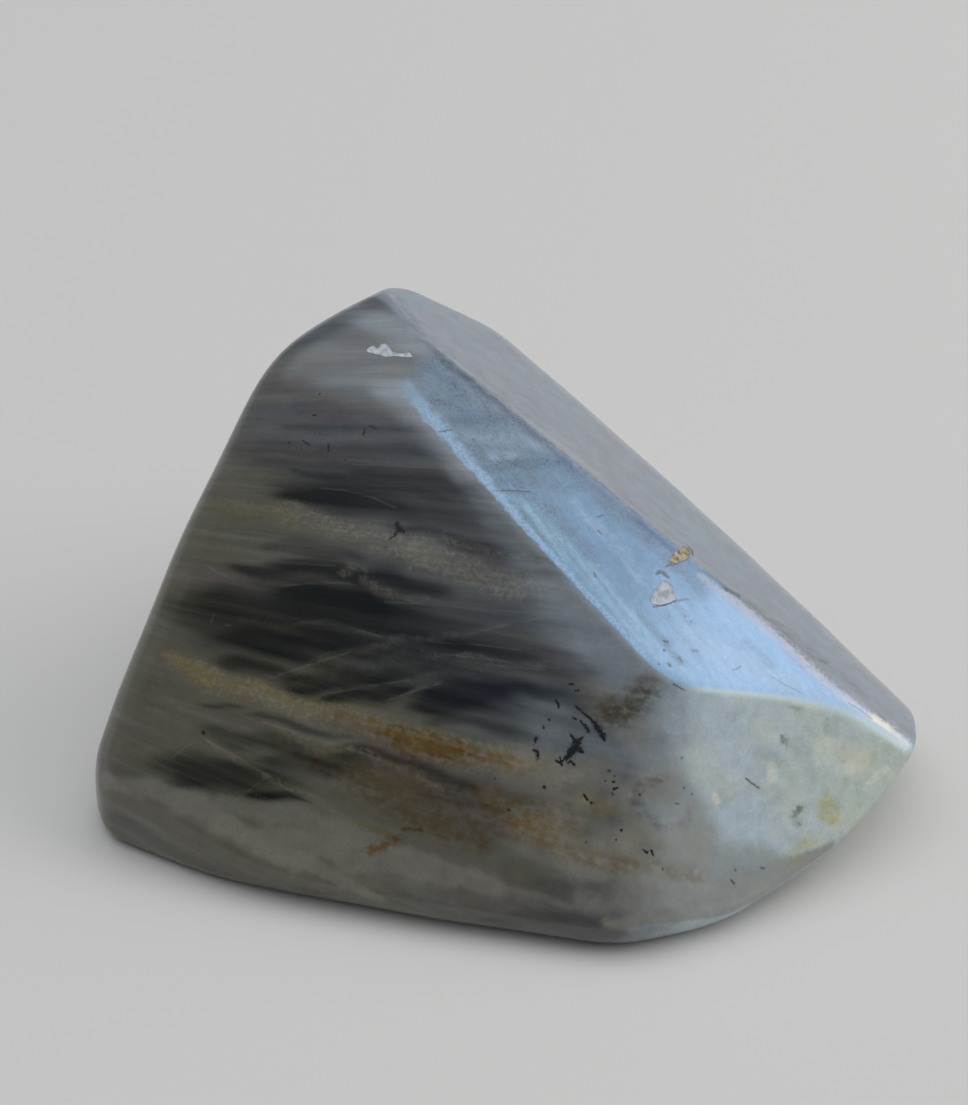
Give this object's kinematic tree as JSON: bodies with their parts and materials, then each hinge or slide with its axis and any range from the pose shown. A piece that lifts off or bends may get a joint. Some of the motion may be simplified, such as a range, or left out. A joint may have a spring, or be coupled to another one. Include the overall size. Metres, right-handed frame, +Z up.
{
  "type": "polished stone",
  "caption": "Freeform polished labradorite: a tapering block with broad ground faces and rounded edges that stands on a flat foot, to display or to hold in the hand.",
  "frame": {"origin": "on the flat foot, in the middle of the stone's outline seen from above", "axes": "+X along the stone's length towards its low pointed end, +Y away from the dark front face, +Z up"},
  "size_m": [0.0948, 0.0778, 0.0497],
  "materials": {
    "stone": "polished to a gloss, dark grey-green with pale fibrous veils, and one long face that flashes blue"
  },
  "bodies": {
    "root": {"labradorite": "stone"}
  },
  "joints": []
}
